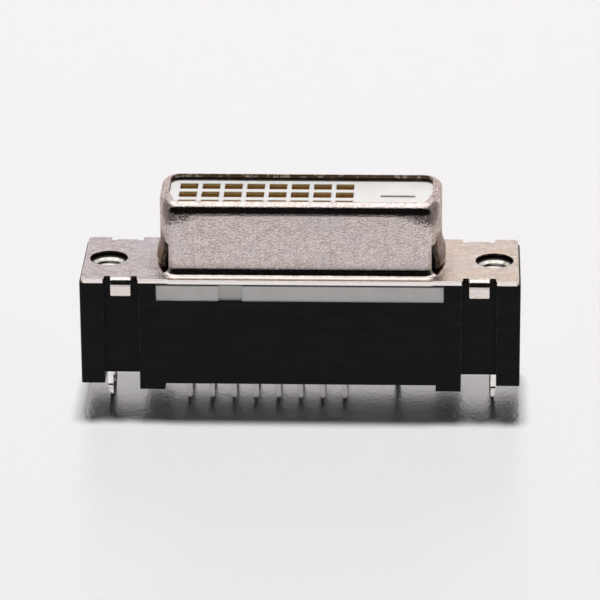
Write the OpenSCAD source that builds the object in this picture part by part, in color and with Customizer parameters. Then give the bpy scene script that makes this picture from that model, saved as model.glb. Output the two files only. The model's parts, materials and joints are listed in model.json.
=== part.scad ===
// Vertical through-hole DVI-D receptacle: nickel-plated drawn shell, white contact insulator, black housing,
// 24 signal contacts in three rows, one flat ground contact, two threaded inserts and two fork board locks.
// Z is up and 0 is the tip of every solder tail. X runs along the connector and Y runs from front to back.

/* [Contact grid] */
// Distance between neighbouring contact columns
col_pitch = 1.905; // [1.9:0.005:1.95]
// Distance between neighbouring contact rows
row_pitch = 1.905; // [1.85:0.005:1.95]
// Middle of the signal columns, left of the connector's middle
grid_x = -2.95; // [-3:0.05:-2.8]
// Middle of the flat ground contact, right of the connector's middle
blade_x = 8.25; // [8:0.05:8.4]
// Middle of the flat ground contact, behind the middle row
blade_y = -0.2; // [-0.3:0.05:0]

/* [Face windows] */
// Window size along X
window_w = 1.5; // [1.46:0.02:1.56]
// Window size along Y
window_d = 1.25; // [1.2:0.01:1.32]
// Length of the slot over the ground contact
blade_slot_w = 2.9; // [2.8:0.05:3.1]
// Width of the slot over the ground contact
blade_slot_d = 0.4; // [0.3:0.05:0.6]
// Skin of plastic over the ground contact's cavity
blade_skin = 0.7; // [0.5:0.05:0.9]

/* [Heights] */
// Solder tail below the board face that the feet stand on
tail_len = 2.05; // [1.8:0.05:3.2]
// Foot below the underside of the housing
foot_h = 0.55; // [0.3:0.05:0.8]
// Housing from its underside to the flange
housing_h = 9.25; // [8.8:0.05:11]
// Insulator face above the top of the flange
face_h = 5.9; // [5.8:0.05:6]
// Shell rim above the insulator face
rim_above_face = 0.55; // [0.5:0.05:0.7]

/* [Drawn shell] */
// Thickness of the sheet
sheet_t = 0.4; // [0.36:0.02:0.42]
// Half of the shell's width, outside
shell_hw = 12; // [11.9:0.05:12.1]
// Front face of the shell, in front of the middle
shell_front = 3.8; // [3.7:0.05:3.9]
// Rear face of the shell, behind the middle
shell_rear = 4.1; // [3.8:0.05:4.2]
// Where the end wall starts to bend inwards, in front of the middle
slant_y = 0.5; // [0.3:0.1:0.9]
// Radius of the rear corners, outside
rear_r = 1.65; // [1.4:0.05:2]
// Radius where the end wall starts to slant
bend_r = 3; // [2:0.5:4]
// Radius of the front corners, outside
front_r = 1.05; // [1:0.05:1.2]
// Outside radius of the rolled rim
rim_r = 0.8; // [0.7:0.05:0.85]
// Radius of the fillet where the shell meets the flange
base_r = 0.6; // [0.5:0.05:0.65]

/* [Flange] */
// How far the flange stops short of each end of the housing
flange_short = 0.15; // [0:0.05:0.4]
// Flange depth at its ends
flange_d = 9.5; // [9.3:0.1:9.6]
// How far the flange's long edges stand out along the drawn shell
flange_belly = 0.15; // [0.05:0.05:0.2]
// Radius of the flange corners
flange_r = 0.35; // [0.2:0.05:0.5]
// Distance between the two screw holes
screw_spacing = 33; // [32.8:0.05:33.2]
// Screw hole diameter
screw_hole_d = 3.26; // [3.1:0.02:3.3]
// Middle of a folded tab and of its channel from the connector's middle
tab_x = 15.2; // [15.1:0.05:15.3]
// Tab width
tab_w = 1.7; // [1.5:0.05:1.9]
// How far a tab hangs below the top of the flange
tab_drop = 1.58; // [1.2:0.02:2.2]
// Inside radius of the tab's bend
tab_bend = 0.15; // [0.1:0.05:0.25]
// Relief notch width beside a tab
notch_w = 0.56; // [0.5:0.02:0.64]
// How far the notch reaches past the tab's bend line
notch_over = 0.12; // [0.05:0.01:0.2]

/* [Spring fingers] */
// Front edge of a finger, in front of the middle
finger_front = 2.5; // [2.4:0.1:2.7]
// Rear edge of a finger, behind the middle
finger_rear = 1.5; // [1:0.1:1.6]
// Width of the slot in front of a finger
finger_slot = 0.95; // [0.6:0.05:1]
// Width of the slot behind a finger
rear_slot = 0.5; // [0.3:0.05:0.6]
// Width of the slit that carries each slot on up to a finger's root
finger_slit = 0.14; // [0.1:0.02:0.2]
// Height above the flange at which a finger leaves the wall
finger_root = 3.75; // [3.4:0.05:4]
// Height above the flange of the top of the slots
slot_top = 2.7; // [2.2:0.1:2.9]
// Height above the flange of a finger's free end
finger_end = 0.3; // [0.25:0.05:0.5]
// How far a finger stands out of the wall
finger_bulge = 0.32; // [0.2:0.02:0.44]
// How far a finger's free end turns back in
finger_tuck = 0.1; // [0.04:0.02:0.2]

/* [Insulator] */
// Length of the insulator's flange
ins_w = 24.4; // [24.2:0.1:26]
// Thickness of the insulator's flange
ins_t = 1.65; // [1.4:0.05:2]
// Front and rear faces of the insulator's flange behind the housing's faces
ins_inset = 0.06; // [0.02:0.01:0.2]
// Clearance between the insulator and the shell's walls
ins_gap = 0.14; // [0.1:0.01:0.16]
// Middle of the shallow gate recess in the front of the insulator's flange
gate_x = -5.9; // [-7:0.1:-4]
// Width of the gate recess
gate_w = 2.04; // [1:0.02:3]
// Depth of the gate recess
gate_depth = 0.15; // [0.05:0.05:0.3]
// Depth of the pockets behind the spring fingers
finger_pocket = 0.75; // [0.6:0.05:0.9]

/* [Housing] */
// Housing length
housing_w = 37.4; // [37.2:0.1:38.4]
// Housing depth
housing_d = 9.3; // [9.2:0.05:9.5]
// Radius of the housing's upright edges
housing_r = 0.2; // [0.1:0.05:0.3]
// Width of a tab channel
channel_w = 3; // [2.8:0.05:3.2]
// Depth of a tab channel
channel_depth = 0.45; // [0.4:0.05:0.7]
// How far the underside is raised between the channels
arch_h = 0.85; // [0.5:0.05:1.2]
// Foot width
foot_w = 2.15; // [1.6:0.05:2.2]
// Foot depth
foot_d = 2.4; // [1.5:0.1:3]
// Clearance round whatever sits in the housing
fit_gap = 0.03; // [0.02:0.01:0.05]

/* [Contacts] */
// Sheet thickness of the contact's spring fork
fork_t = 0.18; // [0.14:0.01:0.2]
// Width of a signal contact's fork
fork_w = 1.36; // [1.2:0.02:1.4]
// Width of the ground contact's fork
blade_fork_w = 2.7; // [2.4:0.05:2.74]
// Fork tip below the insulator face
fork_below = 0.12; // [0.05:0.01:0.5]
// Opening between the two beams where they grip
grip_gap = 0.3; // [0.2:0.02:0.5]
// Tail width along X
tail_w = 0.5; // [0.4:0.02:0.6]
// Tail thickness along Y
tail_t = 0.3; // [0.2:0.02:0.4]
// Width of a tail at its tip
tail_tip_w = 0.26; // [0.15:0.01:0.36]
// Length of the taper at a tail's tip
tail_taper = 0.4; // [0.2:0.05:0.8]

/* [Threaded inserts] */
// Insert diameter
insert_d = 3.6; // [3.5:0.05:3.7]
// Insert length
insert_h = 5.5; // [4:0.1:6]
// Bore inside the threads
thread_minor_d = 2.3; // [2.1:0.05:2.5]
// Mouth of the bore, at the outside of the threads
thread_major_d = 2.85; // [2.7:0.05:3]
// Depth of the two grip grooves round an insert
groove_depth = 0.12; // [0.05:0.01:0.2]

/* [Board locks] */
// How far the middle of a lock lies inside the screw's axis
lock_inside = 0.06; // [0:0.02:0.3]
// Web of plastic between a lock's slot and the threaded insert above it
lock_web = 0.35; // [0.2:0.05:0.6]
// Sheet thickness of a lock
lock_t = 0.45; // [0.4:0.05:0.5]
// Depth of the lock's plate inside the housing
lock_plate_d = 4.2; // [3.9:0.1:5]
// Front to back size of the fork above its barbs
lock_fork_d = 3.1; // [2.8:0.1:3.4]
// Gap between the prongs
lock_slit = 0.9; // [0.6:0.1:1.2]
// How far a barb stands out
barb = 0.25; // [0.1:0.05:0.3]
// Height of the barb's ledge above the tips
barb_z = 1.15; // [0.8:0.05:1.3]
// Sideways offset between the two prongs
lock_kink = 0.08; // [0.05:0.01:0.15]

/* [Hidden] */
$fn = 64;
eps = 0.01;
// width of the flat that the fillet runs into
skirt_w = 0.6;
// foot of the openings round the fingers above the flange
slot_foot = 0.05;
columns = 8;
signal_count = 3 * columns;

function two_digits(n) = n < 10 ? str("0", n) : str(n);

// heights of the main levels
board_z = tail_len;
under_z = board_z + foot_h;
seat_z = under_z + housing_h;
flange_z = seat_z + sheet_t;
face_z = flange_z + face_h;
ins_bottom_z = seat_z - ins_t;
arch_z = under_z + arch_h;
insert_bottom_z = seat_z - insert_h;
lock_top_z = insert_bottom_z - lock_web;

// what follows from the housing, the screws and the channels; a tab stands a little off the housing's face
tab_stand = 0.05;
bend_line = housing_d / 2 + tab_stand - tab_bend - sheet_t;
flange_w = housing_w - 2 * flange_short;
lock_x = screw_spacing / 2 - lock_inside;
channel_in = tab_x - channel_w / 2;

// place of each contact: columns from left to right, rows from back to front
function column_x(c) = grid_x + (c - (columns - 1) / 2) * col_pitch;
function row_y(r) = (1 - r) * row_pitch;
blade_tail_y = row_pitch;

// the front part of each end wall slants in by 7 in 24, so that its corner points fall on round numbers
slant_deg = atan2(7, 24);
slant_n = [cos(slant_deg), -sin(slant_deg)];

// centres of the three corner arcs on the right half of the drawn outline
bend_c = [shell_hw - bend_r, -slant_y];
front_cy = -shell_front + front_r;
front_c = [(bend_c * slant_n + bend_r - front_r - front_cy * slant_n[1]) / slant_n[0], front_cy];
rear_c = [shell_hw - rear_r, shell_rear - rear_r];

function polar(c, r, a) = c + r * [cos(a), sin(a)];
function flip(points) = [for (i = [len(points) - 1 : -1 : 0]) [-points[i][0], points[i][1]]];

// drawn outline of the shell, moved outwards by off: its corners keep their centres
module d_outline(off) {
    right = [
        polar(front_c, front_r + off, -90), polar(front_c, front_r + off, -slant_deg),
        polar(bend_c, bend_r + off, -slant_deg), polar(bend_c, bend_r + off, 0),
        polar(rear_c, rear_r + off, 0), polar(rear_c, rear_r + off, 90)
    ];
    polygon(concat(right, flip(right)));
    for (side = [1, -1]) {
        translate([side * front_c[0], front_c[1]]) circle(r = front_r + off);
        translate([side * bend_c[0], bend_c[1]]) circle(r = bend_r + off);
        translate([side * rear_c[0], rear_c[1]]) circle(r = rear_r + off);
    }
}

// carries a wall section round the right half of the drawn outline
// the section's x is 0 on the outer face of the wall
module round_the_outline() {
    front = [0, -1];
    side = [1, 0];
    rear = [0, 1];
    bend_start = bend_c + bend_r * side;
    slant_start = bend_c + bend_r * slant_n;
    slant_end = front_c + front_r * slant_n;
    for (arc = [[front_c, front_r, front, slant_n], [bend_c, bend_r, slant_n, side],
                [rear_c, rear_r, side, rear]])
        translate(arc[0]) intersection() {
            rotate_extrude() translate([arc[1], 0]) children();
            sector(arc[2], arc[3]);
        }
    for (run = [[front_c + front_r * front, -90, front_c[0]],
                [slant_start, -slant_deg, norm(slant_end - slant_start)],
                [rear_c + rear_r * side, 0, norm(rear_c + rear_r * side - bend_start)],
                [[0, shell_rear], 90, rear_c[0]]])
        translate(run[0]) rotate([90, 0, run[1]]) linear_extrude(run[2]) children();
}

// upright prism over the sector between two directions
module sector(from, to) {
    reach = 25;
    at(0, 0, -reach) linear_extrude(2 * reach)
        polygon([[0, 0], reach * from, reach * (from + to), reach * to]);
}

module both_sides() {
    children();
    mirror([1, 0, 0]) children();
}

module at(x, y, z = 0) {
    translate([x, y, z]) children();
}

// section of the drawn wall in heights above the flange's top: fillet, upright wall and rolled rim
module wall_section() {
    rim_cz = face_h + rim_above_face - rim_r;
    translate([-sheet_t, base_r]) square([sheet_t, rim_cz - base_r]);
    intersection() {
        translate([-rim_r, rim_cz]) ring2d(rim_r, rim_r - sheet_t);
        translate([-rim_r, rim_cz]) square(rim_r);
    }
    intersection() {
        translate([base_r, base_r]) ring2d(base_r + sheet_t, base_r);
        translate([-sheet_t, -sheet_t]) square(base_r + sheet_t);
    }
    translate([base_r, -sheet_t]) square([skirt_w, sheet_t]);
}

module ring2d(outer, inner) {
    difference() {
        circle(r = outer);
        circle(r = inner);
    }
}

// section of a spring finger, on the wall's outer face: flush below its root, then bowed out, its free end
// turned back in
module finger_section() {
    steps = 12;
    bow_from = 0.5;
    bow_to = 0.88;
    length = finger_root - finger_end;
    function ramp(t) = let (u = min(max((t - bow_from) / (bow_to - bow_from), 0), 1)) u * u * (3 - 2 * u);
    function turn(t) = pow(max(t - bow_to, 0) / (1 - bow_to), 2);
    function bow(t) = finger_bulge * ramp(t) - finger_tuck * turn(t);
    outer = [for (t = concat(0, [for (i = [0 : steps]) bow_from + i * (1 - bow_from) / steps]))
        [bow(t), finger_root - t * length]];
    inner = [for (i = [len(outer) - 1 : -1 : 0]) outer[i] - [sheet_t, 0]];
    polygon(concat(outer, inner));
}

// the finger keeps to the drawn outline, so its front corner lies on the slant
module finger() {
    intersection() {
        at(0, 0, flange_z) round_the_outline() finger_section();
        across_the_wall([[-finger_front, 0], [-finger_front, finger_root], [finger_rear, finger_root],
                         [finger_rear, 0]]);
    }
}

// opening sheared in the wall round a finger: wide slots below, narrow slits up to the root
module finger_opening() {
    across_the_wall([[-finger_front - finger_slot, slot_foot], [-finger_front - finger_slot, slot_top],
                     [-finger_front - finger_slit, slot_top], [-finger_front - finger_slit, finger_root],
                     [finger_rear + finger_slit, finger_root], [finger_rear + finger_slit, slot_top],
                     [finger_rear + rear_slot, slot_top], [finger_rear + rear_slot, slot_foot]]);
}

// prism through the right end wall from an outline in y and in height above the flange
module across_the_wall(outline) {
    reach = 2;
    at(shell_hw - reach, 0, flange_z) rotate([90, 0, 90]) linear_extrude(2 * reach) polygon(outline);
}

module flange_plate() {
    gap_w = tab_w + 2 * notch_w;
    linear_extrude(sheet_t) difference() {
        rounded_rect(flange_w, flange_d, flange_r);
        d_outline(base_r + skirt_w / 2);
        for (side = [1, -1]) {
            translate([side * screw_spacing / 2, 0]) circle(d = screw_hole_d);
            for (edge = [1, -1]) translate([side * tab_x, edge * bend_line]) {
                translate([-gap_w / 2, edge < 0 ? -flange_d : 0]) square([gap_w, flange_d]);
                for (dx = [-1, 1]) translate([dx * (tab_w + notch_w) / 2, edge * (notch_w / 2 - notch_over)])
                    circle(d = notch_w);
            }
        }
    }
}

module rounded_rect(w, d, r) {
    square([w - 2 * r, d], center = true);
    square([w, d - 2 * r], center = true);
    for (sx = [-1, 1], sy = [-1, 1]) translate([sx * (w / 2 - r), sy * (d / 2 - r)]) circle(r = r);
}

// tab folded down over the housing at the front right; its bend is a quarter ring
module folded_tab() {
    outer = tab_bend + sheet_t;
    at(tab_x - tab_w / 2, -bend_line, flange_z - outer) rotate([90, 0, 90]) linear_extrude(tab_w)
        intersection() {
            ring2d(outer, tab_bend);
            translate([-outer, 0]) square(outer);
        }
    at(tab_x, -bend_line - tab_bend, flange_z - outer) rotate([90, 0, 0]) linear_extrude(sheet_t) {
        drop = tab_drop - outer;
        corner = 0.1;
        translate([-tab_w / 2, corner - drop]) square([tab_w, drop - corner]);
        translate([corner - tab_w / 2, -drop]) square([tab_w - 2 * corner, corner]);
        for (side = [-1, 1]) translate([side * (tab_w / 2 - corner), corner - drop]) circle(r = corner);
    }
}

module front_shell() {
    color("silver") {
        at(0, 0, seat_z) flange_plate();
        both_sides() {
            difference() {
                intersection() {
                    at(0, 0, flange_z) round_the_outline() wall_section();
                    at(0, -flange_d / 2 - flange_belly, seat_z)
                        cube([flange_w / 2, flange_d + 2 * flange_belly, face_z]);
                }
                finger_opening();
            }
            finger();
            folded_tab();
            mirror([0, 1, 0]) folded_tab();
        }
    }
}

module insulator() {
    flange_depth = housing_d - 2 * ins_inset;
    inner = -sheet_t - ins_gap;
    color("white") difference() {
        union() {
            at(-ins_w / 2, -flange_depth / 2, ins_bottom_z) cube([ins_w, flange_depth, ins_t]);
            at(0, 0, seat_z - eps) linear_extrude(face_z - seat_z + eps) d_outline(inner);
        }
        for (c = [0 : columns - 1], r = [0 : 2])
            at(column_x(c) - window_w / 2, row_y(r) - window_d / 2, ins_bottom_z - 1)
                cube([window_w, window_d, face_z - ins_bottom_z + 2]);
        at(blade_x - blade_slot_w / 2, blade_y - blade_slot_d / 2, ins_bottom_z)
            cube([blade_slot_w, blade_slot_d, face_z - ins_bottom_z + 1]);
        at(blade_x - blade_slot_w / 2, blade_y - window_d / 2, ins_bottom_z - 1)
            cube([blade_slot_w, window_d, face_z - blade_skin - ins_bottom_z + 1]);
        both_sides() at(shell_hw + inner - finger_pocket, -finger_front - finger_slot, flange_z)
            cube([2, finger_front + finger_slot + finger_rear + rear_slot, finger_root]);
        at(gate_x - gate_w / 2, -flange_depth / 2 - 1, ins_bottom_z - 1)
            cube([gate_w, 1 + gate_depth, ins_t + 2]);
    }
}

module housing() {
    lock_room = lock_t + lock_kink + 2 * fit_gap;
    color("dimgray") difference() {
        union() {
            at(0, 0, under_z) linear_extrude(housing_h) rounded_rect(housing_w, housing_d, housing_r);
            both_sides() for (edge = [-1, 1])
                at(channel_in - foot_w, edge * (housing_d - foot_d) / 2 - foot_d / 2, board_z)
                    cube([foot_w, foot_d, foot_h + 1]);
        }
        at(-ins_w / 2 - fit_gap, -housing_d, ins_bottom_z)
            cube([ins_w + 2 * fit_gap, 2 * housing_d, ins_t + 1]);
        for (c = [0 : columns - 1], r = [0 : 2]) tail_hole(column_x(c), row_y(r));
        tail_hole(blade_x, blade_tail_y);
        at(blade_x - tail_w, blade_y - window_d / 2, ins_bottom_z - sheet_t)
            cube([2 * tail_w, blade_tail_y + tail_t + window_d / 2 - blade_y, sheet_t + 1]);
        both_sides() {
            for (edge = [-1, 1])
                at(channel_in, edge * (housing_d / 2 + 1 - channel_depth) - 1, 0)
                    cube([channel_w, 2, seat_z + 1]);
            at(channel_in, -housing_d, 0) cube([channel_w, 2 * housing_d, arch_z]);
            at(screw_spacing / 2, 0, insert_bottom_z) cylinder(d = insert_d + 2 * fit_gap, h = insert_h + 1);
            at(lock_x - lock_room / 2, -lock_plate_d / 2 - fit_gap, 0)
                cube([lock_room, lock_plate_d + 2 * fit_gap, lock_top_z]);
        }
    }
}

// hole for one tail, with a wider well from below
module tail_hole(x, y) {
    well = 0.3;
    well_h = 0.8;
    at(x - tail_w / 2 - fit_gap, y - tail_t / 2 - fit_gap, 0)
        cube([tail_w + 2 * fit_gap, tail_t + 2 * fit_gap, ins_bottom_z + 1]);
    at(x - tail_w / 2 - well, y - tail_t / 2 - well, 0)
        cube([tail_w + 2 * well, tail_t + 2 * well, under_z + well_h]);
}

// spring fork of folded sheet, seen from the side: two beams on one web, closest where they grip
module fork_outline(tip_z) {
    play = 0.03;
    bend_z = ins_bottom_z + 3;
    grip_z = tip_z - 1.4;
    grip_h = 0.4;
    mouth_z = tip_z - 0.25;
    foot = window_d / 2 - play - fork_t / 2;
    grip = grip_gap / 2 + fork_t / 2;
    beam = [[foot, ins_bottom_z], [foot, bend_z], [grip, grip_z - grip_h / 2],
            [grip, grip_z + grip_h / 2], [foot, mouth_z], [foot, tip_z]];
    for (side = [-1, 1])
        polygon(concat(
            [for (p = beam) [side * (p[0] - fork_t / 2), p[1]]],
            [for (i = [len(beam) - 1 : -1 : 0]) [side * (beam[i][0] + fork_t / 2), beam[i][1]]]
        ));
    translate([-foot, ins_bottom_z]) square([2 * foot, 1.5 * fork_t]);
}

module fork(width, tip_z) {
    rotate([90, 0, 90]) translate([0, 0, -width / 2]) linear_extrude(width) fork_outline(tip_z);
}

// flat tail with a tapered tip
module tail(top_z) {
    at(0, tail_t / 2) rotate([90, 0, 0]) linear_extrude(tail_t)
        polygon([[-tail_w / 2, top_z], [-tail_w / 2, tail_taper], [-tail_tip_w / 2, 0],
                 [tail_tip_w / 2, 0], [tail_w / 2, tail_taper], [tail_w / 2, top_z]]);
}

module signal_contact(c, r) {
    color("gold") at(column_x(c), row_y(r)) {
        fork(fork_w, face_z - fork_below);
        tail(ins_bottom_z + fork_t);
    }
}

// wide fork on a strap that carries it back to its tail
module ground_blade() {
    play = 0.1;
    strap_t = sheet_t - play;
    strap_front = blade_y - window_d / 2 + play;
    strap_rear = blade_tail_y + tail_t / 2;
    color("gold") {
        at(blade_x, blade_y) fork(blade_fork_w, face_z - blade_skin - fork_below);
        at(blade_x - tail_w + play, strap_front, ins_bottom_z - strap_t)
            cube([2 * (tail_w - play), strap_rear - strap_front, strap_t]);
        at(blade_x, blade_tail_y) tail(ins_bottom_z);
    }
}

module threaded_insert(side) {
    r = insert_d / 2;
    minor = thread_minor_d / 2;
    lead = (thread_major_d - thread_minor_d) / 2;
    groove = insert_h / 6;
    color("gainsboro") at(side * screw_spacing / 2, 0, insert_bottom_z) difference() {
        cylinder(r = r, h = insert_h);
        at(0, 0, -1) cylinder(r = minor, h = insert_h + 2);
        at(0, 0, insert_h - lead) cylinder(r1 = minor, r2 = minor + lead + eps, h = lead + eps);
        for (k = [1, 3]) at(0, 0, k * groove) difference() {
            cylinder(r = r + 1, h = groove);
            cylinder(r = r - groove_depth, h = groove);
        }
    }
}

// fork of sheet metal: a plate in the housing's slot, and below it two barbed prongs set a little apart
module board_lock(side) {
    half = lock_fork_d / 2;
    slit = lock_slit / 2;
    toe = half * 0.75;
    lead_w = 0.25;
    lead_h = 0.5;
    tip_bevel = lock_t / 3;
    neck_z = arch_z + 0.3;
    color("lightgray") mirror([side < 0 ? 1 : 0, 0, 0]) {
        at(lock_x - lock_t / 2, -lock_plate_d / 2, neck_z)
            cube([lock_t, lock_plate_d, lock_top_z - neck_z]);
        for (edge = [-1, 1])
            at(lock_x - edge * lock_kink / 2, 0) intersection() {
                at(-lock_t / 2, 0) rotate([90, 0, 90]) linear_extrude(lock_t) to_edge(edge)
                    polygon([[slit, neck_z + 1], [slit, lead_h], [slit + lead_w, 0], [toe, 0],
                             [half + barb, barb_z], [half, barb_z], [half, neck_z + 1]]);
                at(0, lock_plate_d) rotate([90, 0, 0]) linear_extrude(2 * lock_plate_d)
                    polygon([[-lock_t / 2, 0], [lock_t / 2 - tip_bevel, 0], [lock_t / 2, barb_z],
                             [lock_t / 2, neck_z + 1], [-lock_t / 2, neck_z + 1]]);
            }
    }
}

module to_edge(edge) {
    mirror([edge < 0 ? 1 : 0, 0]) children();
}

front_shell();
insulator();
housing();
ground_blade();
threaded_insert(-1);  // threaded_insert_left
threaded_insert(1);  // threaded_insert_right
board_lock(-1);  // board_lock_left
board_lock(1);  // board_lock_right
for (n = [1 : signal_count])
    signal_contact((n - 1) % columns, floor((n - 1) / columns));
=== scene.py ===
import json
import math

import bmesh
import bpy
from mathutils import Matrix, Vector


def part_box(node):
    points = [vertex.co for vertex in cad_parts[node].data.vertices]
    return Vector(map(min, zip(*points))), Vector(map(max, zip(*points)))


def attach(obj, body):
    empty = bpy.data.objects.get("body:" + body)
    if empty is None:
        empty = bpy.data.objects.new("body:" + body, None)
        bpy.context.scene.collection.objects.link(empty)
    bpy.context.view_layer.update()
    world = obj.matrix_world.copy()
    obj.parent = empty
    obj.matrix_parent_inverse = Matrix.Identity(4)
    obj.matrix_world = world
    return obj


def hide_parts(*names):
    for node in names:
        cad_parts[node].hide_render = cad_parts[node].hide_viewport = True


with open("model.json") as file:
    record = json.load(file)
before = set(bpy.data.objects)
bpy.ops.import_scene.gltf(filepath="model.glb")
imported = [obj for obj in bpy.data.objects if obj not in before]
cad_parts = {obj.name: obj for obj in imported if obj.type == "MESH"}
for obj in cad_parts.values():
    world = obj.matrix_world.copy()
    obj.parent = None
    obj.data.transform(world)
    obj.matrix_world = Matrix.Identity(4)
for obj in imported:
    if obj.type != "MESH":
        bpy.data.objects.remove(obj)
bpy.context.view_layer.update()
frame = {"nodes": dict(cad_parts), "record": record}        # nodes and record of the imported connector
scene = bpy.context.scene
mm = 0.001
print("frame loaded:", len(frame["nodes"]), "nodes")


# camera at the photograph's angle
cameraView = {
    "place": (12.993, -336.033, 149.320),        # mm
    "azimuth": 2.240,        # degrees
    "elevation": 22.727,
    "roll": -0.425,
    "lens": 254.75,
    "sensor": 36,
    "clip": (0.01, 20),        # m
}


def makeCamera(view):
    a, e, roll = (math.radians(view[key]) for key in ("azimuth", "elevation", "roll"))
    back = Vector((math.sin(a) * math.cos(e), -math.cos(a) * math.cos(e), math.sin(e)))
    right = Vector((math.cos(a), math.sin(a), 0))
    up = back.cross(right)
    rolledRight = math.cos(roll) * right + math.sin(roll) * up
    rolledUp = math.cos(roll) * up - math.sin(roll) * right
    turn = Matrix((rolledRight, rolledUp, back)).transposed().to_4x4()
    camera = bpy.data.objects.new("camera", bpy.data.cameras.new("camera"))
    camera.matrix_world = Matrix.Translation(Vector(view["place"]) * mm) @ turn
    camera.data.lens = view["lens"]
    camera.data.sensor_width = view["sensor"]
    camera.data.clip_start, camera.data.clip_end = view["clip"]
    scene.collection.objects.link(camera)
    scene.camera = camera


makeCamera(cameraView)
scene.view_settings.view_transform = "Standard"
print("camera placed")


# small helpers for the node trees
def addNode(tree, kind, inputs=None, **settings):
    made = tree.nodes.new("ShaderNode" + kind)
    for key, value in settings.items():
        setattr(made, key, value)
    for key, value in (inputs or {}).items():
        if isinstance(value, bpy.types.NodeSocket):
            tree.links.new(value, made.inputs[key])
        else:
            made.inputs[key].default_value = value
    return made


def calc(tree, operation, a, b=0.0):
    return addNode(tree, "Math", {0: a, 1: b}, operation=operation).outputs[0]


def chain(tree, operation, values):        # the same operation on all of them in turn
    result = values[0]
    for value in values[1:]:
        result = calc(tree, operation, result, value)
    return result


def times(tree, *values):
    return chain(tree, "MULTIPLY", values)


def plus(tree, *values):
    return chain(tree, "ADD", values)


def most(tree, *values):        # the largest of them
    return chain(tree, "MAXIMUM", values)


def fade(tree, value, start, end, low=0.0, high=1.0):        # soft step from low to high
    inputs = {"Value": value, "From Min": start, "From Max": end, "To Min": low, "To Max": high}
    return addNode(tree, "MapRange", inputs, interpolation_type="SMOOTHSTEP").outputs["Result"]


def between(tree, value, a, b, soft):        # 1 between a and b, with soft edges
    return times(tree, fade(tree, value, a - soft, a + soft), fade(tree, value, b - soft, b + soft, 1, 0))


def mixColour(tree, factor, a, b, mode="MIX"):
    return addNode(tree, "Mix", {0: factor, 6: a, 7: b}, data_type="RGBA", blend_type=mode).outputs[2]


def mixValue(tree, factor, a, b):
    return addNode(tree, "Mix", {0: factor, 2: a, 3: b}, data_type="FLOAT").outputs[0]


def rgba(colour):
    return (*colour, 1.0)


def paint(tree, under, colour, mask):        # lays a colour over what is under it
    return mixColour(tree, mask, under, rgba(colour))


def toned(tree, value, levels, low, high):        # one colour that gives way to another
    return mixColour(tree, fade(tree, value, *levels), rgba(low), rgba(high))


def millimetres(tree, scale=(1, 1, 1)):        # the piece's own place in mm
    source = addNode(tree, "TexCoord").outputs["Object"]
    return addNode(tree, "Mapping", {"Vector": source, "Scale": [s / mm for s in scale]}).outputs[0]


def coordinates(tree, place):        # what an area can be bounded by
    x, y, z = addNode(tree, "SeparateXYZ", {0: place}).outputs
    normal = addNode(tree, "NewGeometry").outputs["True Normal"]
    up = addNode(tree, "SeparateXYZ", {0: normal}).outputs[2]        # 1 on a face that looks up
    at = {"x": x, "y": y, "z": z, "up": up}
    for name, value in (("side", x), ("depth", y), ("level", up)):
        at[name] = calc(tree, "ABSOLUTE", value)        # both sides alike
    return at


def area(tree, at, bands):        # 1 inside all of its bands
    masks = []
    for name, *band in bands:        # three numbers are from, to and softness, two are a fade
        masks.append((between if len(band) == 3 else fade)(tree, at[name], *band))
    return times(tree, *masks)


def noise(tree, vector, scale, detail=3.0, rough=0.55):
    inputs = {"Vector": vector, "Scale": scale, "Detail": detail, "Roughness": rough}
    return addNode(tree, "TexNoise", inputs).outputs[0]


def cells(tree, vector, scale):        # distance to the nearest of scattered points
    return addNode(tree, "TexVoronoi", {"Vector": vector, "Scale": scale}).outputs["Distance"]


def uneven(tree, value, pattern, amount):        # a noise pattern moves the value up and down
    return plus(tree, value, times(tree, calc(tree, "SUBTRACT", pattern, 0.5), amount))


def bump(tree, height, depth, normal=None):        # depth in mm
    inputs = {"Height": height, "Distance": depth * mm, "Strength": 1.0}
    if normal is not None:
        inputs["Normal"] = normal
    return addNode(tree, "Bump", inputs).outputs[0]


def tilt(tree, normal, amount, towards):        # turns a normal a little towards a direction
    push = addNode(tree, "VectorMath", {0: towards, "Scale": amount}, operation="SCALE").outputs[0]
    turned = addNode(tree, "VectorMath", {0: normal, 1: push}, operation="ADD").outputs[0]
    return addNode(tree, "VectorMath", {0: turned}, operation="NORMALIZE").outputs[0]


def softEdges(tree, radius):        # rounded look on sharp edges
    return addNode(tree, "Bevel", {"Radius": radius * mm}, samples=6).outputs[0]


def edgeCloseness(tree, rounded):        # how close an edge is
    flat = addNode(tree, "NewGeometry").outputs["Normal"]
    closeness = addNode(tree, "VectorMath", {0: rounded, 1: flat}, operation="DOT_PRODUCT").outputs["Value"]
    return fade(tree, closeness, 0.995, 0.8)


def newMaterial(name):
    material = bpy.data.materials.new(name)
    material.use_nodes = True
    return material, material.node_tree, material.node_tree.nodes["Principled BSDF"]


def connect(tree, shader, **sockets):
    names = {"colour": "Base Color", "roughness": "Roughness", "normal": "Normal", "metallic": "Metallic"}
    for key, value in sockets.items():
        tree.links.new(value, shader.inputs[names[key]])


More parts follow.
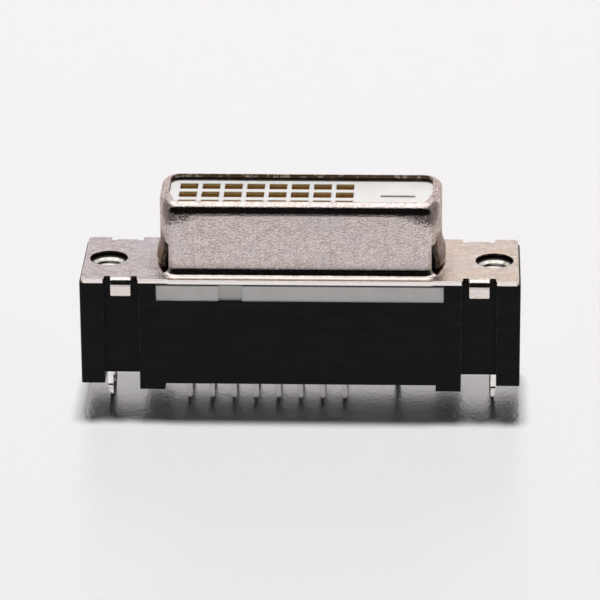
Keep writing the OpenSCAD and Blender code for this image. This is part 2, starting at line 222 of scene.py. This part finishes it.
# nickel on the drawn shell
upright = ("level", 0.35, 0.25)        # band that keeps to standing faces
tabWidth = ("side", 14.25, 16.15, 0.05)
nickel = {
    "bright": (0.90, 0.81, 0.765),
    "dull": (0.57, 0.49, 0.455),
    "violet": (0.66, 0.61, 0.66),
    "tarnish": (0.115, 0.067, 0.038),
    "smudge": (0.30, 0.26, 0.25),
    "peach": (0.76, 0.60, 0.50),
    "pinhole": (0.2, 0.17, 0.15),
    # painted dark: painted shade in the notches, under the flange's cut faces, at the fillet's ends and the fingers'
    # tips, and painted dark reflection in the front corners
    "paintedDark": (0.035, 0.026, 0.021),
    "paintedHighlight": (0.94, 0.89, 0.86),        # painted highlight on the flange's cut faces, the tabs' faces, the apron and the folds
    "cutEdge": (0.13, 0.08, 0.05),        # bare, cut after plating
    "cutPale": (0.5, 0.42, 0.36),
    # painted shade colour for the lower part of the cut faces at the rim and in the screw holes
    "paintedShadeBlack": (0.012, 0.010, 0.009),
    "flangeLeft": (0.745, 0.80, 0.89),        # these two are multiplied in
    "flangeRight": (0.95, 1.0, 1.0),
    "glance": (0.75, 0.68, 0.62),        # tint at glancing angles
    "cloud": (0.28, 2),        # noise: scale, detail and roughness
    "coolCloud": (0.4, 1),
    "mottle": (1.6, 5, 0.65),
    "grain": (5.5, 3, 0.7),
    "streaks": (1.0, 3, 0.6),
    "streakStretch": (7, 7, 0.5),
    "shares": (0.35, 0.5, 0.15),        # of mottle, grain and streaks in the tone
    "pinholeScale": 1.1,
    "toneFade": (0.4, 0.6),        # fades: from, to, then the weakest and the strongest if not 0 and 1
    "tarnishFade": (0.2, 0.45, 0, 0.93),
    "smudgeFade": (0.56, 0.42, 0, 0.85),
    "blushFade": (0.42, 0.62, 0, 0.7),
    "blushAlong": (-4.0, 16.0, 0.25),
    "flangeAlong": (-14, 14),
    "coolFade": (0.5, 0.62, 0, 0.25),
    "pinholeFade": (0.085, 0.05, 0, 0.5),
    "cutFade": (0.52, 0.62),
    "tabHighlightShare": 0.6,        # how far the painted highlight covers the tabs' faces
    "apronAndFoldHighlightShare": 0.8,        # and the apron and the folds
    "paintedDarkShare": 0.75,
    "polished": 0.12,        # roughness
    "satin": 0.2,
    "satinSwing": 0.25,
    "sheared": 0.5,
    "grainDepth": 0.05,        # mm
    "grainSmooth": 0.35,        # what is left of the grain where the sheet is smooth
    "waveDepth": 0.008,
    "edge": 0.12,
    "screwX": 16.5,
    "tabX": 15.2,
    "tabFrom": 14.2,
    "cornerZ": 16.55,        # foot of the dark corners: two lines through this height, by place and slope
    "cornerLines": ((11.5, 2.0), (11.1, -0.36)),
    "cornerRagged": (1.0, 3.0),        # by mottle and by grain
    "cornerSoft": 0.5,
    "cornerLean": 0.24,        # leans turn the normal, as the drawn sheet does
    "rollLean": 0.18,
    "filletLean": -0.35,
    "foldLean": 0.36,
    "edgeLean": 1.4,
    "apronLean": 0.55,
    "places": {        # in mm, but for up and level
        "fingers": [("side", 11.2, 13.0, 0.1), ("y", -2.6, 1.6, 0.1), ("z", 12.4, 15.5, 0.4)],
        "rimEnds": [("side", 10.7, 11.5), ("z", 14.8, 16.5)],
        "lowDown": [("z", 12.5, 12.3)],
        "flangeTop": [("z", 12.36, 12.26), ("up", 0.8, 0.95), ("side", 10.8, 12.4)],
        "rimCut": [("z", 18.28, 18.32), upright],
        "rimCutShade": [("z", 18.47, 18.41)],
        # the rear roll's top, given the cut faces' brown as painted dark reflection
        "rearTop": [("z", 18.62, 18.66), ("y", 3.1, 3.2)],
        "screwHole": [("fromScrew", 1.72, 1.66), upright],
        "holeWallShade": [("z", 12.12, 12.06)],
        "flangeCut": [("z", 12.29, 12.27), ("depth", 4.7, 4.74), upright],
        "tabFace": [("z", 11.6, 11.5), tabWidth, upright],
        "lowerEdge": [("z", 11.8, 11.865, 0.015)],
        "notches": [("fromTab", 0.93, 1.5, 0.03), ("depth", 4.0, 4.8, 0.02), ("z", 12.29, 12.27), upright],
        "apron": [("z", 12.2, 12.3, 0.06), ("y", -4.6, -4.06, 0.05), ("side", 11.8, 10.6)],
        "fold": [("z", 11.57, 12.3, 0.04), tabWidth, ("depth", 4.32, 4.4)],
        "rim": [("z", 17.7, 18.1)],
        "fillet": [("z", 12.28, 12.9, 0.03)],
        "underRim": [("z", 18.3, 18.1)],
        "rimRoll": [("z", 17.66, 18.1, 0.07)],
        "filletTop": [("z", 12.7, 12.88, 0.04)],
        "filletFoot": [("z", 12.37, 12.5, 0.04)],
        "frontWall": [("y", -2.0, -3.0)],
        "wallEnds": [("side", 10.4, 11.0), ("side", 12.3, 11.8), ("z", 18.6, 18.45), ("y", -1.6, -2.4)],
        "filletEnds": [("z", 12.45, 12.85, 0.06), ("side", 10.9, 11.9, 0.1), ("y", -4.6, -2.6, 0.1)],
        "fingerTips": [("z", 13.6, 15.1, 0.1), ("y", -2.7, -2.2, 0.06), ("side", 11.0, 11.1)],
        "bend": [("z", 11.68, 11.9, 0.025)],
        "flangeEdge": [("z", 12.17, 12.28, 0.02), ("depth", 4.62, 4.66), upright],
    },
}


def nickelMaterial(look):
    material, tree, shader = newMaterial("nickel sheet")
    place = millimetres(tree)
    at = coordinates(tree, place)
    at["fromTab"] = calc(tree, "ABSOLUTE", calc(tree, "SUBTRACT", at["side"], look["tabX"]))
    fromScrew = {0: calc(tree, "SUBTRACT", at["side"], look["screwX"]), 1: at["y"]}
    fromScrew = addNode(tree, "CombineXYZ", fromScrew).outputs[0]
    at["fromScrew"] = addNode(tree, "VectorMath", {0: fromScrew}, operation="LENGTH").outputs["Value"]
    on = {name: area(tree, at, bands) for name, bands in look["places"].items()}

    cloud, coolCloud, mottle, grain = (
        noise(tree, place, *look[key]) for key in ("cloud", "coolCloud", "mottle", "grain"))
    streaks = noise(tree, millimetres(tree, look["streakStretch"]), *look["streaks"])
    patterns = zip((mottle, grain, streaks), look["shares"])
    tone = plus(tree, *(times(tree, pattern, share) for pattern, share in patterns))
    colour = toned(tree, tone, look["toneFade"], look["dull"], look["bright"])

    # tan film round the spring fingers, smudges on the ends of the rim, blushes on the flange
    tarnishAndPaintedShade = times(tree, on["fingers"], fade(tree, mottle, *look["tarnishFade"]))
    colour = paint(tree, colour, look["tarnish"], tarnishAndPaintedShade)
    smudge = times(tree, on["rimEnds"], fade(tree, tone, *look["smudgeFade"]))
    colour = paint(tree, colour, look["smudge"], smudge)
    blush = times(tree, on["lowDown"], fade(tree, at["x"], *look["blushAlong"]),
                  fade(tree, cloud, *look["blushFade"]))
    colour = paint(tree, colour, look["peach"], blush)
    duller = toned(tree, at["x"], look["flangeAlong"], look["flangeLeft"], look["flangeRight"])
    colour = mixColour(tree, on["flangeTop"], colour, mixColour(tree, 1.0, colour, duller, "MULTIPLY"))
    colour = paint(tree, colour, look["violet"], fade(tree, coolCloud, *look["coolFade"]))
    pinholes = fade(tree, cells(tree, place, look["pinholeScale"]), *look["pinholeFade"])
    colour = paint(tree, colour, look["pinhole"], pinholes)

    # painted highlight on the cuts along the flange and on the tabs' faces, then painted shade in the notches and along
    # the lower edge of the flange's cut faces
    paintedHighlight = most(tree, on["flangeCut"], times(tree, on["tabFace"], look["tabHighlightShare"]))
    colour = paint(tree, colour, look["paintedHighlight"], paintedHighlight)
    underside = times(tree, on["lowerEdge"], calc(tree, "LESS_THAN", at["side"], look["tabFrom"]))
    paintedShadeNotchesAndUnder = most(tree, on["notches"], times(tree, paintedHighlight, underside))
    colour = paint(tree, colour, look["paintedDark"], paintedShadeNotchesAndUnder)

    # bare brown metal where the sheet was cut at the rim and in the screw holes, with painted shade, near black, on the
    # lower part of those cut faces; the rear roll's top takes the same brown as painted dark reflection
    sheared = most(tree, on["rimCut"], on["rearTop"], on["screwHole"])
    cutBrownAndPaintedTop = toned(tree, mottle, look["cutFade"], look["cutEdge"], look["cutPale"])
    paintedShadeBlack = most(tree, times(tree, on["rimCut"], on["rimCutShade"]), times(tree, on["screwHole"], on["holeWallShade"]))
    cutBrownAndPaintedTop = paint(tree, cutBrownAndPaintedTop, look["paintedShadeBlack"], paintedShadeBlack)
    colour = mixColour(tree, sheared, colour, cutBrownAndPaintedTop)

    # painted highlight bands on the apron in front of the wall and on the tabs' folds
    apronAndFoldHighlight = times(tree, most(tree, on["apron"], on["fold"]), look["apronAndFoldHighlightShare"])
    colour = paint(tree, colour, look["paintedHighlight"], apronAndFoldHighlight)

    # the wall leans back a little at the rim and at the fillet, and more in its two front corners
    lines = [plus(tree, times(tree, at["side"], slope), look["cornerZ"] - slope * start)
             for start, slope in look["cornerLines"]]
    above = calc(tree, "SUBTRACT", at["z"], most(tree, *lines))
    for pattern, amount in zip((mottle, grain), look["cornerRagged"]):
        above = uneven(tree, above, pattern, amount)
    corner = fade(tree, above, 0, look["cornerSoft"])
    lean = times(tree, corner, on["underRim"], look["cornerLean"])
    rolls = times(tree, plus(tree, on["rimRoll"], on["filletTop"]), look["rollLean"])
    lean = plus(tree, most(tree, lean, rolls), times(tree, on["filletFoot"], look["filletLean"]))
    lean = times(tree, lean, on["frontWall"])

    # painted dark reflection in those corners, and painted shade at the ends of the fillet and at the fingers' tips
    paintedDark = most(tree, times(tree, corner, on["wallEnds"]), on["filletEnds"], on["fingerTips"])
    colour = paint(tree, colour, look["paintedDark"], times(tree, paintedDark, look["paintedDarkShare"]))

    # the tabs' folds lean back low down, the flange's upper edge is broken, the apron faces forward
    bend = times(tree, on["fold"], on["bend"], look["foldLean"])
    lean = plus(tree, lean, bend, times(tree, on["flangeEdge"], look["edgeLean"]))
    normal = tilt(tree, softEdges(tree, look["edge"]), lean, (0, 0, 1))
    normal = tilt(tree, normal, times(tree, on["apron"], look["apronLean"]), (0, -1, 0))

    # the rolled rim, the fillet and the tabs' folds are drawn smooth
    drawn = most(tree, on["rim"], on["fillet"], on["fold"])
    satin = uneven(tree, look["satin"], mottle, look["satinSwing"])
    rough = mixValue(tree, sheared, mixValue(tree, drawn, satin, look["polished"]), look["sheared"])
    smooth = most(tree, drawn, paintedHighlight, on["apron"])
    speckle = times(tree, grain, mixValue(tree, smooth, 1.0, look["grainSmooth"]))
    normal = bump(tree, speckle, look["grainDepth"], normal)
    normal = bump(tree, mottle, look["waveDepth"], normal)
    shader.inputs["Metallic"].default_value = 1.0
    shader.inputs["Specular Tint"].default_value = rgba(look["glance"])
    connect(tree, shader, colour=colour, roughness=rough, normal=normal)
    return material


# white and black mouldings
whitePlastic = {
    "colour": (0.87, 0.86, 0.84),
    "shade": (0.80, 0.785, 0.76),
    "paintedGoldBounce": (0.80, 0.66, 0.47),        # painted gold light bounced from the contacts onto the windows' walls
    # painted shade colour for the pockets, the joint and the recess
    "tarnishAndPaintedShade": (0.03, 0.026, 0.022),
    "flow": (0.45, 3),        # noise: scale and detail
    "flowFade": (0.35, 0.75),
    "fine": (9, 3),
    "roughness": 0.42,
    "roughSwing": 0.2,
    "texture": 0.0015,        # mm
    "edge": 0.1,
    "milkiness": 0.5,
    "milkDepth": 0.6,
    "milkColours": (1.0, 0.9, 0.75),
    "recessShadeShare": 0.14,
    "places": {
        "windows": [("depth", 3.1, 3.0), ("x", 6.4, 6.3), ("level", 0.4, 0.3)],
        "pockets": [("side", 10.62, 10.68), ("z", 11.8, 16.1, 0.04), ("y", -3.48, 2.04, 0.02)],
        "joint": [("z", 11.52, 11.64), ("depth", 4.2, 4.3)],
        "recess": [("depth", 4.2, 4.55, 0.02), ("z", 11.6, 11.5)],
    },
}
blackPlastic = {
    "colour": (0.005, 0.0046, 0.005),
    "shade": (0.0085, 0.008, 0.0085),
    "paleEdges": (0.30, 0.29, 0.30),
    "dust": (0.30, 0.28, 0.27),
    "flow": (1.0, 3),
    "flowStretch": (0.35, 0.35, 1.4),
    "flowFade": (0.35, 0.7),
    "fine": (11, 3),
    "edgePatches": (2.4, 4),
    "edgePatchFade": (0.42, 0.62, 0, 0.7),
    "dustScale": 0.55,
    "dustFade": (0.04, 0.02),
    "dustCloud": (0.6, 1),
    "dustCloudFade": (0.5, 0.6),
    "roughness": 0.36,
    "roughSwing": 0.22,
    "dustRoughness": 0.4,
    "shine": 0.12,
    "texture": 0.002,        # mm
    "edge": 0.06,
}


def whiteMaterial(look):
    material, tree, shader = newMaterial("white moulding")
    place = millimetres(tree)
    at = coordinates(tree, place)
    on = {name: area(tree, at, bands) for name, bands in look["places"].items()}
    flow, fine = (noise(tree, place, *look[key]) for key in ("flow", "fine"))
    colour = toned(tree, flow, look["flowFade"], look["colour"], look["shade"])
    # painted gold bounce light on the windows' walls
    colour = paint(tree, colour, look["paintedGoldBounce"], on["windows"])

    # painted shade, near black, in the pockets behind the spring fingers and along the joint under the flange, and
    # fainter painted shade in the recess
    dark = most(tree, times(tree, on["recess"], look["recessShadeShare"]), on["pockets"], on["joint"])
    colour = paint(tree, colour, look["tarnishAndPaintedShade"], dark)
    shader.inputs["Subsurface Weight"].default_value = look["milkiness"]
    shader.inputs["Subsurface Radius"].default_value = look["milkColours"]
    shader.inputs["Subsurface Scale"].default_value = look["milkDepth"] * mm
    rough = uneven(tree, look["roughness"], fine, look["roughSwing"])
    normal = bump(tree, fine, look["texture"], softEdges(tree, look["edge"]))
    connect(tree, shader, colour=colour, roughness=rough, normal=normal)
    return material


def blackMaterial(look):
    material, tree, shader = newMaterial("black moulding")
    place = millimetres(tree)
    flow = noise(tree, millimetres(tree, look["flowStretch"]), *look["flow"])
    fine, edgePatches, dustCloud = (noise(tree, place, *look[key]) for key in ("fine", "edgePatches", "dustCloud"))
    edges = softEdges(tree, look["edge"])
    colour = toned(tree, flow, look["flowFade"], look["colour"], look["shade"])
    # paler along the edges, in patches
    paleEdges = times(tree, edgeCloseness(tree, edges), fade(tree, edgePatches, *look["edgePatchFade"]))
    colour = paint(tree, colour, look["paleEdges"], paleEdges)
    specks = times(tree, fade(tree, cells(tree, place, look["dustScale"]), *look["dustFade"]),
                   fade(tree, dustCloud, *look["dustCloudFade"]))
    colour = paint(tree, colour, look["dust"], specks)
    rough = uneven(tree, look["roughness"], fine, look["roughSwing"])
    rough = plus(tree, rough, times(tree, specks, look["dustRoughness"]))
    shader.inputs["Specular IOR Level"].default_value = look["shine"]
    connect(tree, shader, colour=colour, roughness=rough, normal=bump(tree, fine, look["texture"], edges))
    return material


# contacts: gold on the forks, tin on the tails
contactPlating = {
    "gold": (0.66, 0.48, 0.25),
    "goldDull": (0.52, 0.36, 0.16),
    "goldPaintedShade": (0.58, 0.40, 0.185),
    "inside": [("z", 18.0, 17.55), ("x", 6.5, 6.0)],        # mm, in the windows, where the gold is painted darker as painted shade
    "insideMetal": 0.3,        # the forks' inner faces scatter light
    "tin": (0.98, 0.965, 0.94),
    "tinDull": (0.90, 0.875, 0.84),
    "change": (9.6, 10.0),        # heights in mm between which tin gives way to gold
    "changeRagged": 0.4,
    "lines": (1.0, 3),        # noise: scale and detail
    "lineStretch": (14, 14, 1.2),
    "lineFade": (0.4, 0.7),
    "lineDepth": 0.0015,        # mm
    "spots": (3.0, 4),
    "spotFade": (0.35, 0.7),
    "roughness": 0.09,
    "roughSwing": 0.2,
    "edge": 0.04,
    "foremost": [("z", 3.1, 2.9), ("y", -1.65, -1.75)],
    "lean": 0.165,
    "leanTip": 0.185,
    "leanDown": 0.2,
}
tinPlating = {
    "bright": (0.96, 0.94, 0.91),
    "dull": (0.78, 0.74, 0.69),
    "lines": (1.0, 3),
    "lineStretch": (10, 3, 1.5),
    "lineDepth": 0.002,        # mm
    "spots": (2.2, 5, 0.65),
    "spotFade": (0.4, 0.68),
    "roughness": 0.11,
    "roughSwing": 0.2,
    "edge": 0.05,
    "foremost": [("z", 3.8, 3.6), ("y", -0.4, -0.5)],
    "lean": 0.165,
    "leanTip": 0.165,
    "leanDown": 0.66,        # on the prongs' slanting tips
}
turnedPlating = {
    "bright": (0.80, 0.79, 0.76),
    "dull": (0.58, 0.55, 0.5),
    "mouthShade": (0.02, 0.017, 0.014),        # painted shade, near black, on the sleeve's top round the mouth
    "mouthShadeFrom": (11.68, 11.76),        # mm
    "lines": (1.0, 3),
    "lineStretch": (0.5, 0.5, 16),
    "lineDepth": 0.002,        # mm
    "spots": (1.8, 4),
    "spotFade": (0.4, 0.7),
    "roughness": 0.2,
    "roughSwing": 0.2,
    "edge": 0.03,
}


def leaned(tree, at, look, normal):        # foremost faces below the housing look up a little, as rounded ones do
    nearTip = fade(tree, at["z"], 0.5, 0.4)
    looksDown = fade(tree, at["up"], -0.3, -0.4)
    lean = mixValue(tree, looksDown, mixValue(tree, nearTip, look["lean"], look["leanTip"]), look["leanDown"])
    return tilt(tree, normal, times(tree, area(tree, at, look["foremost"]), lean), (0, 0, 1))


def platingPatterns(tree, look):        # place, lines along the metal, spots on it, and the lines' roughness
    place = millimetres(tree)
    lines = noise(tree, millimetres(tree, look["lineStretch"]), *look["lines"])
    spots = noise(tree, place, *look["spots"])
    return coordinates(tree, place), lines, spots, uneven(tree, look["roughness"], lines, look["roughSwing"])


def contactMaterial(look):
    material, tree, shader = newMaterial("contact plating")
    at, lines, spots, rough = platingPatterns(tree, look)
    inside = area(tree, at, look["inside"])
    gold = toned(tree, spots, look["spotFade"], look["gold"], look["goldDull"])
    # painted shade: darker gold deep in the windows
    gold = paint(tree, gold, look["goldPaintedShade"], inside)
    tin = toned(tree, lines, look["lineFade"], look["tin"], look["tinDull"])
    height = plus(tree, at["z"], times(tree, spots, look["changeRagged"]))
    colour = mixColour(tree, fade(tree, height, *look["change"]), tin, gold)
    normal = bump(tree, lines, look["lineDepth"], leaned(tree, at, look, softEdges(tree, look["edge"])))
    metal = mixValue(tree, inside, 1.0, look["insideMetal"])
    connect(tree, shader, colour=colour, roughness=rough, normal=normal, metallic=metal)
    return material


def tinMaterial(look):
    material, tree, shader = newMaterial("tin on stamped sheet")
    at, lines, spots, rough = platingPatterns(tree, look)
    colour = toned(tree, spots, look["spotFade"], look["bright"], look["dull"])
    normal = bump(tree, lines, look["lineDepth"], leaned(tree, at, look, softEdges(tree, look["edge"])))
    shader.inputs["Metallic"].default_value = 1.0
    connect(tree, shader, colour=colour, roughness=rough, normal=normal)
    return material


def turnedMaterial(look):
    material, tree, shader = newMaterial("turned nickel")
    at, lines, spots, rough = platingPatterns(tree, look)
    colour = toned(tree, spots, look["spotFade"], look["bright"], look["dull"])
    # painted shade on the sleeve's top round the mouth
    colour = paint(tree, colour, look["mouthShade"], fade(tree, at["z"], *look["mouthShadeFrom"]))
    normal = bump(tree, lines, look["lineDepth"], softEdges(tree, look["edge"]))
    shader.inputs["Metallic"].default_value = 1.0
    connect(tree, shader, colour=colour, roughness=rough, normal=normal)
    return material


finishes = {
    "shell": nickelMaterial(nickel),
    "insulator": whiteMaterial(whitePlastic),
    "housing": blackMaterial(blackPlastic),
    "contact": contactMaterial(contactPlating),
    "insert": turnedMaterial(turnedPlating),
    "lock": tinMaterial(tinPlating),
}
print("materials made:", len(finishes))

for part in frame["record"]["subparts"]:
    mesh = frame["nodes"][part["node"]].data
    mesh.materials.clear()
    mesh.materials.append(finishes[part["material_slot"]])
print("CAD nodes dressed")


# threaded sleeves under the screw holes, 40 turns to the inch
sleeve = {        # mm; outer, minor, major, mouth and mouthFoot are radii
    "outer": 1.8,
    "bottom": 6.35,
    "top": 11.85,
    "minor": 1.15,
    "major": 1.42,
    "mouth": 1.58,
    "mouthDepth": 0.36,
    "mouthFoot": 1.2,
    "firstTurn": 1.93,        # pitches below the foot
    "pitch": 0.635,
    "crestFlat": 0.09,
    "rootFlat": 0.08,
    "bands": 6,        # of equal height outside
    "grooves": (4, 2),        # the bands, counted from below, that are turned down
    "grooveDepth": 0.12,
    "grooveSlope": 0.05,
    "chamfer": 0.08,
    "footStep": 0.1,        # how far the flat foot stays clear of the thread
    "around": 40,        # steps in a turn
    "spareTurns": 3,
    "weld": 0.002,
    "cutTolerance": 0.001,
    "rimTolerance": 0.01,
}


def spinRound(bm, points, steps, turns=1, rise=0.0):        # points are radius and height
    verts = [bm.verts.new(Vector((r, 0, z)) * mm) for r, z in points]
    edges = [bm.edges.new(pair) for pair in zip(verts, verts[1:])]
    bmesh.ops.spin(bm, geom=edges + verts, axis=(0, 0, 1), cent=(0, 0, 0), dvec=(0, 0, rise * mm / steps),
                   angle=2 * math.pi * turns, steps=steps * turns, use_merge=rise == 0)


def makeThread(bm, s, seat):        # wound past both ends and cut off level
    start = s["bottom"] - s["firstTurn"] * s["pitch"]
    rise = (s["pitch"] - s["crestFlat"] - s["rootFlat"]) / 2
    root = start + s["crestFlat"] + rise
    profile = [(s["minor"], start), (s["minor"], start + s["crestFlat"]), (s["major"], root),
               (s["major"], root + s["rootFlat"]), (s["minor"], start + s["pitch"])]
    turns = math.ceil((s["top"] - s["bottom"]) / s["pitch"]) + s["spareTurns"]
    spinRound(bm, profile, s["around"], turns, s["pitch"])
    bmesh.ops.remove_doubles(bm, verts=bm.verts, dist=s["weld"] * mm)
    for level, up in ((seat, 1), (s["bottom"], -1)):
        everything = bm.verts[:] + bm.edges[:] + bm.faces[:]
        bmesh.ops.bisect_plane(bm, geom=everything, dist=s["cutTolerance"] * mm,
                               plane_co=(0, 0, level * mm), plane_no=(0, 0, up), clear_outer=True)


def makeOutside(bm, s, seat):        # from the countersunk mouth over the grooves to the foot
    outer, top, bottom, slope, chamfer = (s[key] for key in ("outer", "top", "bottom", "grooveSlope", "chamfer"))
    band = (top - bottom) / s["bands"]
    waist = outer - s["grooveDepth"]
    profile = [(s["mouthFoot"], seat), (s["mouth"], top), (outer - chamfer, top), (outer, top - chamfer)]
    for k in s["grooves"]:
        upper, lower = bottom + k * band, bottom + (k - 1) * band
        profile += [(outer, upper), (waist, upper - slope), (waist, lower + slope), (outer, lower)]
    profile += [(outer, bottom + chamfer), (outer - chamfer, bottom), (s["major"] + s["footStep"], bottom)]
    spinRound(bm, profile, s["around"])


def makeSleeve(name, node, s):
    bm = bmesh.new()
    seat = s["top"] - s["mouthDepth"]
    makeThread(bm, s, seat)
    makeOutside(bm, s, seat)
    for level in (seat, s["bottom"]):        # joined under the mouth and at the foot
        rims = [e for e in bm.edges if e.is_boundary
                and all(abs(v.co.z / mm - level) < s["rimTolerance"] for v in e.verts)]
        bmesh.ops.bridge_loops(bm, edges=rims)
    bmesh.ops.recalc_face_normals(bm, faces=bm.faces)
    centre = sum(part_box(node), Vector()) / 2
    bmesh.ops.translate(bm, verts=bm.verts, vec=(centre.x, centre.y, 0))
    mesh = bpy.data.meshes.new(name)
    bm.to_mesh(mesh)
    bm.free()
    mesh.materials.append(finishes["insert"])
    piece = bpy.data.objects.new(name, mesh)
    scene.collection.objects.link(piece)
    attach(piece, "root")
    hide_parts(node)


makeSleeve("threadedSleeveLeft", "threaded_insert_left", sleeve)
makeSleeve("threadedSleeveRight", "threaded_insert_right", sleeve)
print("threaded sleeves made")


# white card under the connector, soft lamp above and a little behind it
floorCard = {
    "size": 4.0,        # m
    "level": -0.01,        # mm, just under the tails
    "colour": (0.905, 0.895, 0.905),
    "roughness": 0.3,
    "shine": 0.35,
    "filmPlace": [("x", -19, 19, 1), ("y", -7, 6, 1)],        # mm, glossier where the connector stands
    "filmIor": 5.0,
    "filmRoughness": 0.22,
    "tooth": 0.03,
    "toothNoise": (3.5, 2, 0.6),
    "toothStretch": (1, 0.5, 1),
    "frontEnd": (-99, -111),        # mm, past which the metal sees no card
    "beyond": (0.012, 0.012, 0.012),
}
lamp = {
    "distance": 1.0,        # m
    "elevation": 80.5,        # degrees
    "width": 0.13,
    "power": 9.3,        # W
    "colour": (1.0, 0.99, 0.985),
}
studio = {        # what the metal sees, in degrees from the front over the top
    "front": 0.006,        # dark room
    "frontSides": (0.9, 1.0),        # how far to the side it reaches
    "around": 0.86,
    "rear": 0.85,
    "rearLow": 1.2,
    "rearLowFrom": (164, 169),
    "screen": 1.42,        # bright screen over the connector
    "screenFrom": 66,
    "screenTo": 146,
    "screenSoft": 4,
    "screenSides": (0.68, 0.52),
    "tint": (1.0, 0.985, 0.97),
    "tintRear": (1.0, 0.95, 0.985),
    "tintRearFrom": (146, 156),
    "fill": (0.05, 0.05, 0.052),        # on surfaces without gloss
    "fillFront": (0.02, 0.02, 0.02),
    "fillFrom": (-0.4, 0.2),
    "background": (0.9, 0.9, 0.9),
}


def makeFloor(look):
    bpy.ops.mesh.primitive_plane_add(size=look["size"], location=(0, 0, look["level"] * mm))
    card = bpy.context.object
    card.name = "floorCard"
    material, tree, shader = newMaterial("card")
    at = coordinates(tree, millimetres(tree))
    tooth = noise(tree, millimetres(tree, look["toothStretch"]), *look["toothNoise"])
    shader.inputs["Base Color"].default_value = rgba(look["colour"])
    shader.inputs["Roughness"].default_value = look["roughness"]
    shader.inputs["Specular IOR Level"].default_value = look["shine"]
    shader.inputs["Coat IOR"].default_value = look["filmIor"]
    shader.inputs["Coat Roughness"].default_value = look["filmRoughness"]
    tree.links.new(area(tree, at, look["filmPlace"]), shader.inputs["Coat Weight"])
    normal = bump(tree, tooth, look["tooth"])
    connect(tree, shader, normal=normal)
    tree.links.new(normal, shader.inputs["Coat Normal"])
    seen = addNode(tree, "LightPath").outputs["Is Glossy Ray"]
    beyond = times(tree, seen, fade(tree, at["y"], *look["frontEnd"]))
    dark = addNode(tree, "Emission", {"Color": rgba(look["beyond"])}).outputs[0]
    flat = addNode(tree, "BsdfDiffuse", {"Color": rgba(look["colour"])}).outputs[0]        # what metal sees of it
    both = addNode(tree, "MixShader", {0: seen, 1: shader.outputs[0], 2: flat}).outputs[0]
    both = addNode(tree, "MixShader", {0: beyond, 1: both, 2: dark}).outputs[0]
    tree.links.new(both, tree.nodes["Material Output"].inputs["Surface"])
    card.data.materials.append(material)


def makeLamp(look):
    light = bpy.data.lights.new("lamp", "AREA")
    light.shape = "DISK"
    light.size = look["width"]
    light.energy = look["power"]
    light.color = look["colour"]
    lampObject = bpy.data.objects.new("lamp", light)
    e = math.radians(look["elevation"])
    towards = Vector((0, math.cos(e), math.sin(e)))
    lampObject.location = towards * look["distance"]
    lampObject.rotation_euler = towards.to_track_quat("Z", "Y").to_euler()
    lampObject.visible_glossy = False        # the metal sees the bright screen instead
    scene.collection.objects.link(lampObject)


def makeWorld(look):
    world = bpy.data.worlds.new("studio")
    scene.world = world
    world.use_nodes = True
    world.cycles.sampling_method = "NONE"
    tree = world.node_tree
    x, y, z = addNode(tree, "SeparateXYZ", {0: addNode(tree, "TexCoord").outputs["Generated"]}).outputs
    over = calc(tree, "DEGREES", calc(tree, "ARCTAN2", z, times(tree, y, -1.0)))
    aside = calc(tree, "ABSOLUTE", x)
    start, end, soft = look["screenFrom"], look["screenTo"], look["screenSoft"]
    lit = most(tree, fade(tree, over, start - soft, start + soft), fade(tree, aside, *look["frontSides"]))
    glow = mixValue(tree, lit, look["front"], look["around"])
    glow = mixValue(tree, fade(tree, over, end - soft, end + soft), glow, look["rear"])
    glow = mixValue(tree, fade(tree, over, *look["rearLowFrom"]), glow, look["rearLow"])
    screen = times(tree, between(tree, over, start, end, soft), fade(tree, aside, *look["screenSides"]))
    glow = mixValue(tree, screen, glow, look["screen"])
    tint = toned(tree, over, look["tintRearFrom"], look["tint"], look["tintRear"])
    shine = mixColour(tree, 1.0, tint, glow, "MULTIPLY")
    fill = toned(tree, y, look["fillFrom"], look["fillFront"], look["fill"])
    path = addNode(tree, "LightPath")
    colour = mixColour(tree, path.outputs["Is Glossy Ray"], fill, shine)
    colour = paint(tree, colour, look["background"], path.outputs["Is Camera Ray"])
    tree.links.new(colour, tree.nodes["Background"].inputs["Color"])


makeFloor(floorCard)
makeLamp(lamp)
makeWorld(studio)
print("stage and light made")
